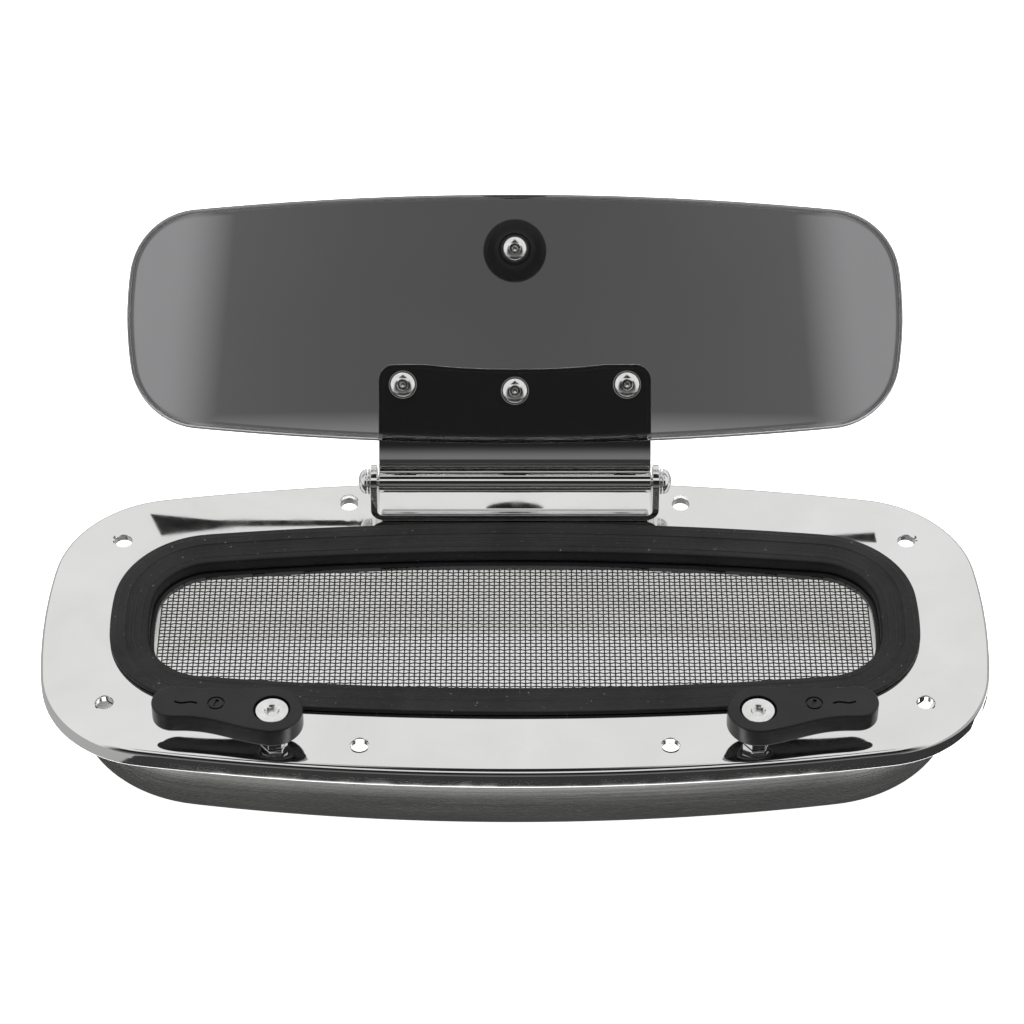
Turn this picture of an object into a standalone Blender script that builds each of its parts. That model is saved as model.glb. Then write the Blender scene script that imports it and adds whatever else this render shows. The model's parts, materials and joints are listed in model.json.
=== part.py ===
"""Opening porthole: a stainless flange on a hollow spigot, a hinged smoked-glass lens, two turn
latches, a rubber seal and an insect screen.

The porthole lies face up and its lens stands open, past upright. Everything is modelled round the
centre of the flange's top face. That centre stands over the row's origin, which is at the middle of
the whole object's base. Lengths are in metres.
"""

import math
from dataclasses import dataclass

import bmesh
import bpy
from mathutils import Vector
from mathutils.geometry import interpolate_bezier

MM = 0.001
GAP = 0.3 * MM

# Where the flange's centre stands in the row's frame.
SPIGOT_DEPTH = 38.0 * MM
FLANGE_CENTRE = Vector((0.0, -24.9 * MM, SPIGOT_DEPTH))

# Flange and spigot.
PLATE = 2.5 * MM
RIM_DROP = 6.5 * MM
RIM_WALL = 2.2 * MM
EDGE_ROUND = 1.8 * MM
SHEET = 1.5 * MM
FOOT_ROUND = 5.0 * MM
FIXING_PLACES = ((121.4, 35.0), (52.0, 51.9), (121.4, -35.0), (45.4, -52.3))
FIXING_HOLE_RADIUS = 2.6 * MM
FIXING_SINK_RADIUS = 4.4 * MM
FIXING_SINK_DEPTH = 0.45 * MM

# Seal and screen, as insets from the seal's outline.
SEAL_TOP = 1.7 * MM
SEAL_INSET = 11.7 * MM
SEAL_FOOT = -5.5 * MM
SEAL_LIP = -3.7 * MM
SEAL_SEAT_INSET = 3.9 * MM
LIP_OUTER_INSET = 9.0 * MM
SCREEN_INSET = 13.0 * MM
SCREEN_TOP = SEAL_LIP - GAP
SCREEN_BOTTOM = SCREEN_TOP - 2.0 * MM
GAUZE = 0.6 * MM

# Hinge. The lens's pieces are modelled closed, round the hinge pin, with the lens along -Y.
PIN_Y = 50.5 * MM
PIN_Z = 10.4 * MM
PIN_RADIUS = 1.9 * MM
OPEN_ANGLE = math.radians(130.0)
KNUCKLE_HALF = 42.3 * MM
LEAF_SHEET = 1.5 * MM
KNUCKLE_BORE = 2.0 * MM
LEAF_REACH = 36.5 * MM
LEAF_HOLLOW = 1.5 * MM
EAR_INNER = 42.8 * MM
EAR_SHEET = 2.0 * MM
EAR_HALF_WIDTH = 7.0 * MM
EAR_TOP_RADIUS = 5.2 * MM

# Lens.
GLASS = 5.0 * MM
GLASS_BEVEL = 1.2 * MM
GLASS_FACE = SEAL_TOP + GAP - PIN_Z
GLASS_BACK = GLASS_FACE + GLASS
LENS_CENTRE_Y = -50.4 * MM
BUSH_RADIUS = 3.2 * MM
SCREW_RADIUS = 2.0 * MM
HINGE_SCREWS = {"left": (-34.6, -30.2), "middle": (0.0, -28.3), "right": (34.6, -30.2)}
KNOB_Y = LENS_CENTRE_Y - 21.6 * MM
PAD_BOTTOM = GLASS_BACK + GAP
PAD_TOP = PAD_BOTTOM + 0.7 * MM
LEAF_BOTTOM = PAD_TOP + GAP
LEAF_TOP = LEAF_BOTTOM + LEAF_SHEET

# Latches.
LATCH_X = 70.4 * MM
LATCH_Y = -51.6 * MM
HUB_RADIUS = 9.0 * MM
ARM_LENGTH = 29.0 * MM
ARM_SIDE = 3.3 * MM
ARM_END_RADIUS = 6.2 * MM
HANDLE_BOTTOM = SEAL_TOP + GAP + GLASS + GAP
HANDLE_TOP = HANDLE_BOTTOM + 6.5 * MM
POST_TOP = HANDLE_BOTTOM - 2.6 * MM
POST_FLATS = 7.0 * MM
WASHER_RADIUS = 5.6 * MM
HANDLE_BORE = 4.2 * MM

ROUND = 18


@dataclass(frozen=True)
class Cushion:
    """An oblong of two shallow side arcs and two end arcs, joined by corner arcs."""

    half_x: float
    half_y: float
    side_radius: float
    end_radius: float
    corner_radius: float

    def inset(self, distance):
        return Cushion(*(size - distance for size in vars(self).values()))

    def corner_centre(self):
        """The centre of the corner arc at +X +Y, which touches the side and the end arc from inside."""
        side_centre = Vector((0.0, self.half_y - self.side_radius))
        end_centre = Vector((self.half_x - self.end_radius, 0.0))
        to_side = self.side_radius - self.corner_radius
        to_end = self.end_radius - self.corner_radius
        between = end_centre - side_centre
        apart = between.length
        along = (to_side**2 - to_end**2 + apart**2) / (2 * apart)
        across = math.sqrt(to_side**2 - along**2)
        unit = between / apart
        return side_centre + unit * along + Vector((unit.y, -unit.x)) * across

    def outline(self, end_steps=2, corner_steps=5, side_steps=3):
        """Points anticlockwise from +X, with the same number of steps for each inset."""
        corner = self.corner_centre()
        end_centre = Vector((self.half_x - self.end_radius, 0.0))
        side_centre = Vector((0.0, self.half_y - self.side_radius))
        end_turn = math.atan2(corner.y, corner.x - end_centre.x)
        side_turn = math.atan2(corner.y - side_centre.y, corner.x)
        quarter = arc(end_centre, self.end_radius, 0.0, end_turn, end_steps)[:-1]
        quarter += arc(corner, self.corner_radius, end_turn, side_turn, corner_steps)[:-1]
        quarter += arc(side_centre, self.side_radius, side_turn, math.pi / 2, side_steps)
        back = quarter[::-1]
        points = quarter[:-1]
        points += [(-x, y) for x, y in back[:-1]]
        points += [(-x, -y) for x, y in quarter[:-1]]
        points += [(x, -y) for x, y in back[:-1]]
        return points


def arc(centre, radius, start, end, steps):
    """Points of a circle's arc, both ends included."""
    turns = [start + (end - start) * i / steps for i in range(steps + 1)]
    return [(centre[0] + radius * math.cos(t), centre[1] + radius * math.sin(t)) for t in turns]


def circle(radius, steps=ROUND, turn=math.radians(4.0)):
    return arc((0.0, 0.0), radius, turn, turn + 2 * math.pi, steps)[:-1]


FLANGE = Cushion(143 * MM, 64 * MM, 705 * MM, 190 * MM, 37 * MM)
SPIGOT = Cushion(135.2 * MM, 51.3 * MM, 645 * MM, 180 * MM, 45 * MM)
SEAL = Cushion(122.3 * MM, 41 * MM, 900 * MM, 110 * MM, 30 * MM)
LENS = Cushion(119.8 * MM, 38.4 * MM, 1061 * MM, 105 * MM, 22.3 * MM)


# ---------------------------------------------------------------- building tools


def clear_scene():
    for obj in list(bpy.data.objects):
        bpy.data.objects.remove(obj, do_unlink=True)


def material(name, color, roughness, metallic=0.0, alpha=1.0):
    made = bpy.data.materials.new(name)
    made.use_nodes = True
    shader = made.node_tree.nodes["Principled BSDF"]
    shader.inputs["Base Color"].default_value = (*color, 1.0)
    shader.inputs["Roughness"].default_value = roughness
    shader.inputs["Metallic"].default_value = metallic
    shader.inputs["Alpha"].default_value = alpha
    made.diffuse_color = (*color, alpha)
    return made


def empty(name, location, parent=None, rotation=(0.0, 0.0, 0.0)):
    made = bpy.data.objects.new(name, None)
    made.empty_display_size = 10 * MM
    made.location = location
    made.rotation_euler = rotation
    made.parent = parent
    bpy.context.scene.collection.objects.link(made)
    return made


def add_object(name, mesh_data, parent, location, rotation, surface):
    made = bpy.data.objects.new(name, mesh_data)
    made.parent = parent
    made.location = location
    made.rotation_euler = rotation
    if surface:
        mesh_data.materials.append(surface)
    bpy.context.scene.collection.objects.link(made)
    return made


def loft(name, loops, parent=None, surface=None, ring=False, location=(0, 0, 0), rotation=(0, 0, 0)):
    """A solid through loops of equal count, each (outline, z), with flat ends or closed round as a ring."""
    shape = bmesh.new()
    rows = [[shape.verts.new((x, y, z)) for x, y in outline] for outline, z in loops]
    pairs = list(zip(rows, rows[1:]))
    if ring:
        pairs.append((rows[-1], rows[0]))
    else:
        shape.faces.new(rows[0])
        shape.faces.new(rows[-1])
    for low, high in pairs:
        for i in range(len(low)):
            following = (i + 1) % len(low)
            shape.faces.new((low[i], low[following], high[following], high[i]))
    bmesh.ops.recalc_face_normals(shape, faces=shape.faces)
    if shape.calc_volume(signed=True) < 0:
        bmesh.ops.reverse_faces(shape, faces=shape.faces)
    mesh_data = bpy.data.meshes.new(name)
    shape.to_mesh(mesh_data)
    shape.free()
    mesh_data.shade_smooth()
    mesh_data.set_sharp_from_angle(angle=math.radians(35.0))
    return add_object(name, mesh_data, parent, location, rotation, surface)


def turned(name, profile, parent=None, surface=None, ring=False, steps=ROUND, **place):
    """A turned piece about Z from (radius, z) pairs."""
    return loft(name, [(circle(r, steps), z) for r, z in profile], parent, surface, ring, **place)


def prism(name, outline, low, high, parent=None, surface=None, **place):
    return loft(name, [(outline, low), (outline, high)], parent, surface, **place)


def cutter(obj):
    obj.hide_render = True
    obj.display_type = "WIRE"
    return obj


def cut(obj, tool, operation="DIFFERENCE"):
    """Keep a Boolean with a hidden tool on the object."""
    made = obj.modifiers.new(f"{operation.lower()}_{tool.name}", "BOOLEAN")
    made.operation = operation
    made.solver = "EXACT"
    made.object = cutter(tool)


def join(objects):
    """Join cutters that don't touch into one."""
    shape = bmesh.new()
    for obj in objects:
        copy = obj.data.copy()
        copy.transform(obj.matrix_basis)
        shape.from_mesh(copy)
        bpy.data.meshes.remove(copy)
    kept = objects[0]
    shape.to_mesh(kept.data)
    shape.free()
    kept.location = (0.0, 0.0, 0.0)
    for obj in objects[1:]:
        bpy.data.objects.remove(obj, do_unlink=True)
    return kept


def thicken(path, thickness):
    """The closed outline of a sheet whose middle runs along a path."""
    left, right = [], []
    for i, point in enumerate(path):
        before = Vector(path[max(i - 1, 0)])
        after = Vector(path[min(i + 1, len(path) - 1)])
        along = (after - before).normalized()
        side = Vector((-along.y, along.x)) * thickness / 2
        left.append(tuple(Vector(point) + side))
        right.append(tuple(Vector(point) - side))
    return left + right[::-1]


# ---------------------------------------------------------------- frame


def flange_plate(parent, steel):
    """The polished ring: a flat plate with a turned-down rim and eight shallowly dished fixing holes."""
    rise = 1 - math.cos(math.pi / 4)
    sections = [
        (FLANGE.inset(EDGE_ROUND), 0.0),
        (FLANGE.inset(EDGE_ROUND * rise), -EDGE_ROUND * rise),
        (FLANGE, -EDGE_ROUND),
        (FLANGE, -RIM_DROP),
        (FLANGE.inset(RIM_WALL), -RIM_DROP),
        (FLANGE.inset(RIM_WALL), -PLATE),
        (SEAL.inset(SEAL_SEAT_INSET - GAP), -PLATE),
        (SEAL.inset(SEAL_SEAT_INSET - GAP), 0.0),
    ]
    plate = loft("flange_plate", [(s.outline(), z) for s, z in sections], parent, steel, ring=True)
    over = 1.0 * MM
    slope = (FIXING_SINK_RADIUS - FIXING_HOLE_RADIUS) / FIXING_SINK_DEPTH
    sink = [
        (FIXING_SINK_RADIUS + slope * over, over),
        (FIXING_HOLE_RADIUS, -FIXING_SINK_DEPTH),
        (FIXING_HOLE_RADIUS, -PLATE - over),
    ]
    tools = []
    for x, y in FIXING_PLACES:
        for side in (-1, 1):
            tools.append(turned("fixing_cutter", sink, steps=12, location=(side * x * MM, y * MM, 0)))
    tool = join(tools)
    tool.parent = parent
    cut(plate, tool)
    return plate


def spigot_body(parent, steel):
    """The pressed channel behind the flange: outer wall, floor and inner wall with the seal's shelf."""
    outer_rounds = [0.0, 30.0, 60.0, 90.0]
    sections = [(SPIGOT, -PLATE - GAP)]
    for degrees in outer_rounds:
        turn = math.radians(degrees)
        inset = FOOT_ROUND * (1 - math.cos(turn))
        sections.append((SPIGOT.inset(inset), -SPIGOT_DEPTH + FOOT_ROUND * (1 - math.sin(turn))))
    inner_wall = LIP_OUTER_INSET - GAP
    lower_wall = SCREEN_INSET - 2.0 * MM
    shelf = SEAL_FOOT - GAP
    seat = SCREEN_BOTTOM - GAP
    floor = -SPIGOT_DEPTH + SHEET
    sections += [
        (SEAL.inset(lower_wall), -SPIGOT_DEPTH),
        (SEAL.inset(lower_wall), seat),
        (SEAL.inset(inner_wall), seat),
        (SEAL.inset(inner_wall), shelf),
        (SEAL.inset(SEAL_SEAT_INSET + GAP), shelf),
        (SEAL.inset(SEAL_SEAT_INSET + GAP), shelf - SHEET),
        (SEAL.inset(inner_wall - SHEET), shelf - SHEET),
        (SEAL.inset(inner_wall - SHEET), seat - SHEET),
        (SEAL.inset(lower_wall - SHEET), seat - SHEET),
        (SEAL.inset(lower_wall - SHEET), floor),
    ]
    inner_round = FOOT_ROUND - SHEET
    for degrees in outer_rounds[::-1]:
        turn = math.radians(degrees)
        inset = FOOT_ROUND - inner_round * math.cos(turn)
        sections.append((SPIGOT.inset(inset), -SPIGOT_DEPTH + FOOT_ROUND - inner_round * math.sin(turn)))
    sections.append((SPIGOT.inset(SHEET), -PLATE - GAP))
    loops = [(section.outline(), z) for section, z in sections]
    return loft("spigot_body", loops, parent, steel, ring=True)


def main_seal(parent, rubber):
    """The moulded ring that the lens closes on: it slopes inwards and its lip runs down to the screen."""
    profile = [
        (0.0, GAP),
        (0.0, SEAL_TOP - 0.6 * MM),
        (0.6 * MM, SEAL_TOP),
        (3.6 * MM, SEAL_TOP - 0.1 * MM),
        (5.6 * MM, 1.1 * MM),
        (11.0 * MM, 0.4 * MM),
        (SEAL_INSET, -0.4 * MM),
        (SEAL_INSET, SEAL_LIP),
        (LIP_OUTER_INSET, SEAL_LIP),
        (LIP_OUTER_INSET, SEAL_FOOT),
        (SEAL_SEAT_INSET, SEAL_FOOT),
        (SEAL_SEAT_INSET, GAP),
    ]
    loops = [(SEAL.inset(inset).outline(), z) for inset, z in profile]
    return loft("main_seal", loops, parent, rubber, ring=True)


def insect_screen(parent, frame_material, gauze_material):
    """The moulded screen frame, and the gauze as one thin sheet inside it."""
    outer = LIP_OUTER_INSET + GAP
    profile = [
        (outer, SCREEN_TOP),
        (SCREEN_INSET, SCREEN_TOP),
        (SCREEN_INSET, SCREEN_BOTTOM),
        (outer, SCREEN_BOTTOM),
    ]
    loops = [(SEAL.inset(inset).outline(), z) for inset, z in profile]
    loft("screen_frame", loops, parent, frame_material, ring=True)
    middle = (SCREEN_TOP + SCREEN_BOTTOM) / 2
    sheet = SEAL.inset(SCREEN_INSET + GAP).outline()
    prism("screen_mesh", sheet, middle - GAUZE / 2, middle + GAUZE / 2, parent, gauze_material)


# ---------------------------------------------------------------- hinge


def hinge_bracket(parent, steel):
    """A bent sheet with two upright ears that carry the pin, standing on the flange."""
    bend = 3.0 * MM
    middle = EAR_INNER + EAR_SHEET / 2
    base = GAP + EAR_SHEET / 2
    top = PIN_Z + EAR_TOP_RADIUS + 1.0 * MM
    right = [(0.0, base)] + arc((middle - bend, base + bend), bend, -math.pi / 2, 0.0, 4)
    right.append((middle, top))
    path = [(-x, z) for x, z in right[::-1]] + right[1:]
    # The sheet's outline is drawn in X and Z, so the prism is stood up about X.
    upright = (math.pi / 2, 0.0, 0.0)
    bracket = prism(
        "hinge_bracket",
        thicken(path, EAR_SHEET),
        -EAR_HALF_WIDTH,
        EAR_HALF_WIDTH,
        parent,
        steel,
        location=(0.0, PIN_Y, 0.0),
        rotation=upright,
    )
    # The ears' side view, in Z (down the prism's x) and Y, narrows to a round top about the pin.
    side_view = arc((-PIN_Z, 0.0), EAR_TOP_RADIUS, math.radians(105), math.radians(255), 8)
    side_view += [(1.0 * MM, -EAR_HALF_WIDTH - MM), (1.0 * MM, EAR_HALF_WIDTH + MM)]
    along_x = (0.0, math.pi / 2, 0.0)
    reach = EAR_INNER + 5 * MM
    ears = prism("ear_cutter", side_view, -reach, reach, parent, location=(0, PIN_Y, 0), rotation=along_x)
    cut(bracket, ears, "INTERSECT")
    bore = prism("ear_bore_cutter", circle(PIN_RADIUS + 0.15 * MM), -reach, reach, parent)
    bore.location = (0.0, PIN_Y, PIN_Z)
    bore.rotation_euler = along_x
    cut(bracket, bore)
    return bracket


def hinge_pin_set(parent, steel):
    """The pin with its domed head, the cap nut on its other end, and a washer under each."""
    along_x = {"location": (0.0, PIN_Y, PIN_Z), "rotation": (0.0, math.pi / 2, 0.0)}
    washer_in = EAR_INNER + EAR_SHEET + GAP
    washer_out = washer_in + 0.6 * MM
    seat = washer_out + GAP
    dome = [(0.6, 2.7), (1.9, 2.5), (3.3, 1.9), (4.0, 0.9), (4.0, 0.0)]
    bore = PIN_RADIUS + 0.15 * MM
    pin = [(r * MM, -seat - z * MM) for r, z in dome]
    pin += [(PIN_RADIUS, -seat), (PIN_RADIUS, seat + 1.0 * MM)]
    turned("hinge_pin", pin, parent, steel, **along_x)
    nut = [(r * MM, seat + z * MM) for r, z in dome]
    nut += [(bore, seat), (bore, seat + 1.3 * MM)]
    turned("hinge_cap_nut", nut, parent, steel, **along_x)
    for name, side in (("left", -1), ("right", 1)):
        profile = [(bore, washer_in), (4.1 * MM, washer_in), (4.1 * MM, washer_out), (bore, washer_out)]
        washer = [(r, side * z) for r, z in profile]
        turned(f"hinge_washer_{name}", washer, parent, steel, ring=True, **along_x)


def hinge_leaf(parent, steel):
    """The sheet on the lens's back, which rises in a gentle S and rolls round the pin."""
    middle = (LEAF_BOTTOM + LEAF_TOP) / 2
    roll = KNUCKLE_BORE + LEAF_SHEET / 2
    rise = [Vector((y * MM, z, 0.0)) for y, z in ((-11.0, middle), (-6.0, middle), (-5.0, roll), (0.0, roll))]
    path = [(-LEAF_REACH - 2 * MM, middle)]
    path += [(point.x, point.y) for point in interpolate_bezier(*rise, 7)]
    path += arc((0.0, 0.0), roll, math.pi / 2, math.radians(-160), 13)[1:]
    half = KNUCKLE_HALF + 3 * MM
    # The section is drawn in Y and Z, so the prism lies along X.
    along_x = (math.pi / 2, 0.0, math.pi / 2)
    leaf = prism("hinge_leaf", thicken(path, LEAF_SHEET), -half, half, parent, steel, rotation=along_x)
    plan = leaf_plan(0.0)
    outline = prism("leaf_cutter", plan, -8 * MM, 8 * MM, parent)
    cut(leaf, outline, "INTERSECT")
    cut(leaf, hinge_screw_holes("leaf_hole_cutter", SCREW_RADIUS + 0.2 * MM, parent))
    return leaf


def leaf_plan(inset):
    """The leaf seen from its face: round corners and a slightly hollow end."""
    half = KNUCKLE_HALF - inset
    end = -LEAF_REACH + inset
    radius = 5.0 * MM - inset
    points = [(half, 8.0 * MM), (-half, 8.0 * MM)]
    points += arc((-half + radius, end + radius), radius, math.pi, 1.5 * math.pi, 4)
    hollow = [Vector((x, end + rise, 0.0)) for x, rise in ((-28 * MM, 0), (-12 * MM, LEAF_HOLLOW * 1.3))]
    hollow += [Vector((-point.x, point.y, 0.0)) for point in hollow[::-1]]
    points += [(point.x, point.y) for point in interpolate_bezier(*hollow, 7)]
    points += arc((half - radius, end + radius), radius, 1.5 * math.pi, 2 * math.pi, 4)
    return points


def hinge_screw_holes(name, radius, parent):
    tools = []
    for x, y in HINGE_SCREWS.values():
        tools.append(prism(name, circle(radius, 14), -15 * MM, 8 * MM, location=(x * MM, y * MM, 0)))
    tool = join(tools)
    tool.parent = parent
    return tool


def hinge_pad(parent, rubber):
    """The rubber pad between the leaf and the glass."""
    plan = [(x, y) for x, y in leaf_plan(1.2 * MM) if y < 0]
    half = KNUCKLE_HALF - 1.2 * MM
    near = -13.0 * MM
    pad = prism("hinge_pad", plan + [(half, near), (-half, near)], PAD_BOTTOM, PAD_TOP, parent, rubber)
    cut(pad, hinge_screw_holes("pad_hole_cutter", SCREW_RADIUS + 0.4 * MM, parent))
    return pad


# ---------------------------------------------------------------- lens


def lens_glass(parent, glass):
    """The toughened lens, bevelled on both faces, with a hole for each screw."""
    sections = [
        (LENS.inset(GLASS_BEVEL), GLASS_FACE),
        (LENS, GLASS_FACE + GLASS_BEVEL),
        (LENS, GLASS_BACK - GLASS_BEVEL),
        (LENS.inset(GLASS_BEVEL), GLASS_BACK),
    ]
    loops = [([(x, y + LENS_CENTRE_Y) for x, y in section.outline()], z) for section, z in sections]
    lens = loft("lens_glass", loops, parent, glass)
    radius = BUSH_RADIUS + GAP
    tools = [hinge_screw_holes("glass_hole_cutter", radius, None)]
    knob_hole = prism("knob_hole_cutter", circle(radius, 14), -15 * MM, 8 * MM, location=(0, KNOB_Y, 0))
    tool = join([*tools, knob_hole])
    tool.parent = parent
    cut(lens, tool)
    return lens


def lens_bushes(parent, plastic):
    """A sleeve in each hole of the glass keeps its screw off the edge of the hole."""
    places = {f"hinge_{name}": (x * MM, y * MM) for name, (x, y) in HINGE_SCREWS.items()}
    places["knob"] = (0.0, KNOB_Y)
    inner = SCREW_RADIUS + 0.2 * MM
    low, high = GLASS_FACE + 0.1 * MM, GLASS_BACK - 0.1 * MM
    profile = [(inner, low), (BUSH_RADIUS, low), (BUSH_RADIUS, high), (inner, high)]
    for name, (x, y) in places.items():
        turned(f"lens_bush_{name}", profile, parent, plastic, ring=True, steps=14, location=(x, y, 0))


def pan_screw(name, head_radius, head_height, under_head, tip, parent, steel, place):
    """A pan-head screw that points up, its head below."""
    low = under_head - head_height
    profile = [
        (head_radius * 0.45, low),
        (head_radius * 0.85, low + head_height * 0.25),
        (head_radius, low + head_height * 0.65),
        (head_radius, under_head),
        (SCREW_RADIUS, under_head),
        (SCREW_RADIUS, tip),
    ]
    turned(name, profile, parent, steel, steps=16, location=place)


def hinge_screws(parent, steel):
    """The three screws through glass, pad and leaf, each with its cap nut on the leaf."""
    seat = LEAF_TOP + GAP
    bore = SCREW_RADIUS + 0.15 * MM
    nut = [(1.2, 4.4), (2.9, 3.7), (3.5, 2.6), (3.5, 0.0)]
    nut_profile = [(r * MM, seat + z * MM) for r, z in nut] + [(bore, seat), (bore, seat + 3.0 * MM)]
    for name, (x, y) in HINGE_SCREWS.items():
        place = (x * MM, y * MM, 0.0)
        under = GLASS_FACE - GAP
        pan_screw(f"hinge_screw_{name}", 4 * MM, 2.3 * MM, under, seat + 2.6 * MM, parent, steel, place)
        turned(f"hinge_nut_{name}", nut_profile, parent, steel, steps=12, location=place)


def knob_set(parent, plastic, steel, rubber):
    """The mushroom knob on the lens's back, its screw, and the washer under the screw's head."""
    place = (0.0, KNOB_Y, 0.0)
    foot = GLASS_BACK + GAP
    bore = SCREW_RADIUS + 0.15 * MM
    shape = [
        (8.6, 18.0),
        (9.7, 17.2),
        (10.0, 15.8),
        (9.6, 13.6),
        (7.2, 11.6),
        (5.4, 9.4),
        (4.9, 6.0),
        (5.4, 0.8),
        (5.2, 0.0),
    ]
    profile = [(r * MM, foot + z * MM) for r, z in shape] + [(bore, foot), (bore, foot + 8.0 * MM)]
    turned("knob", profile, parent, plastic, steps=20, location=place)
    washer_top = GLASS_FACE - GAP
    washer_low = washer_top - 0.7 * MM
    ring = [(bore, washer_low), (4.3 * MM, washer_low), (4.3 * MM, washer_top), (bore, washer_top)]
    turned("knob_washer", ring, parent, rubber, ring=True, steps=16, location=place)
    pan_screw("knob_screw", 3.7 * MM, 2.1 * MM, washer_low - GAP, foot + 7.6 * MM, parent, steel, place)


# ---------------------------------------------------------------- latches


def handle_outline(side):
    """The handle from above: a round hub and an arm set towards the hinge side, pointing along side."""
    hub = arc((0, 0), HUB_RADIUS, math.radians(-108), math.radians(88), 14)
    far = [Vector((x * MM, y * MM, 0)) for x, y in ((0.3, 9.0), (-9.0, 8.8), (-16.0, 8.0), (-27.0, 9.3))]
    end = arc((-ARM_LENGTH, ARM_SIDE), ARM_END_RADIUS, math.radians(75), math.radians(270), 9)
    near_path = ((-27.0, -2.9), (-17.0, -2.9), (-13.0, -6.2), (-2.8, -8.6))
    near = [Vector((x * MM, y * MM, 0)) for x, y in near_path]
    points = hub[:-1] + [(p.x, p.y) for p in interpolate_bezier(*far, 6)[:-1]]
    points += end + [(p.x, p.y) for p in interpolate_bezier(*near, 8)[1:-1]]
    return [(-side * x, y) for x, y in points]


def latch(name, side, root, plastic, steel, nylon):
    """A hexagonal post with a countersunk screw and a bush, and the handle that turns on the bush."""
    place = Vector((side * LATCH_X, LATCH_Y, 0.0))
    axis = empty(f"latch_{name}_axis", place, root)
    screw_radius = 2.5 * MM
    bore = screw_radius + 0.15 * MM
    flats = POST_FLATS / 2 / math.cos(math.pi / 6)
    hexagon = circle(flats, 6, math.radians(10.0))
    post = prism(f"latch_post_{name}", hexagon, GAP, POST_TOP, root, steel, location=place)
    hole = prism(f"post_cutter_{name}", circle(bore), 1.4 * MM, POST_TOP + MM, root, location=place)
    cut(post, hole)

    bush_low = POST_TOP + GAP
    cone_low = HANDLE_TOP - 3.8 * MM
    ring = [(bore, bush_low), (HANDLE_BORE - GAP, bush_low)]
    ring += [(HANDLE_BORE - GAP, cone_low - GAP), (bore, cone_low - GAP)]
    turned(f"latch_bush_{name}", ring, root, steel, ring=True, location=place)

    washer_top = HANDLE_BOTTOM - GAP
    ring = [(HANDLE_BORE, bush_low), (WASHER_RADIUS, bush_low)]
    ring += [(WASHER_RADIUS, washer_top), (HANDLE_BORE, washer_top)]
    turned(f"latch_washer_{name}", ring, root, nylon, ring=True, location=place)

    head_top = cone_low + 2.4 * MM
    head_radius = screw_radius + 2.4 * MM
    profile = [
        (head_radius - 0.1 * MM, head_top + 0.1 * MM),
        (head_radius, head_top),
        (screw_radius, cone_low),
        (screw_radius, 1.8 * MM),
    ]
    turned(f"latch_screw_{name}", profile, root, steel, location=place)

    handle = prism(f"latch_handle_{name}", handle_outline(side), HANDLE_BOTTOM, HANDLE_TOP, axis, plastic)
    edges = handle.modifiers.new("edge_round", "BEVEL")
    edges.width = 0.5 * MM
    edges.segments = 1
    edges.limit_method = "ANGLE"
    edges.angle_limit = math.radians(60)
    recess = 5.35 * MM
    sink_top = head_top + 0.1 * MM
    sink_low = sink_top - (recess - HANDLE_BORE)
    tool_profile = [
        (HANDLE_BORE, HANDLE_BOTTOM - MM),
        (HANDLE_BORE, sink_low),
        (recess, sink_top),
        (recess, HANDLE_TOP + MM),
    ]
    cut(handle, turned(f"handle_cutter_{name}", tool_profile, axis))
    return handle


# ---------------------------------------------------------------- assembly


def build():
    clear_scene()
    polished = material("polished_steel", (0.78, 0.78, 0.78), 0.08, metallic=1.0)
    brushed = material("brushed_steel", (0.60, 0.59, 0.57), 0.32, metallic=1.0)
    rubber = material("black_rubber", (0.018, 0.018, 0.019), 0.6)
    black_plastic = material("black_plastic", (0.035, 0.035, 0.037), 0.35)
    nylon = material("nylon", (0.03, 0.03, 0.03), 0.5)
    glass = material("smoked_glass", (0.10, 0.10, 0.105), 0.03, alpha=0.6)
    gauze = material("gauze", (0.05, 0.05, 0.05), 0.5)

    root = empty("flange_centre", FLANGE_CENTRE)
    flange_plate(root, polished)
    spigot_body(root, brushed)
    main_seal(root, rubber)
    insect_screen(root, black_plastic, gauze)
    hinge_bracket(root, polished)
    hinge_pin_set(root, polished)

    lens_axis = empty("lens_axis", (0.0, PIN_Y, PIN_Z), root, (-OPEN_ANGLE, 0.0, 0.0))
    lens_glass(lens_axis, glass)
    lens_bushes(lens_axis, nylon)
    hinge_leaf(lens_axis, polished)
    hinge_pad(lens_axis, rubber)
    hinge_screws(lens_axis, polished)
    knob_set(lens_axis, black_plastic, polished, rubber)

    for name, side in (("left", -1), ("right", 1)):
        latch(name, side, root, black_plastic, polished, nylon)


build()
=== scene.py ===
import json
import math
import random
from dataclasses import dataclass

import bmesh
import bpy
from mathutils import Matrix, Vector
from mathutils.geometry import interpolate_bezier

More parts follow.
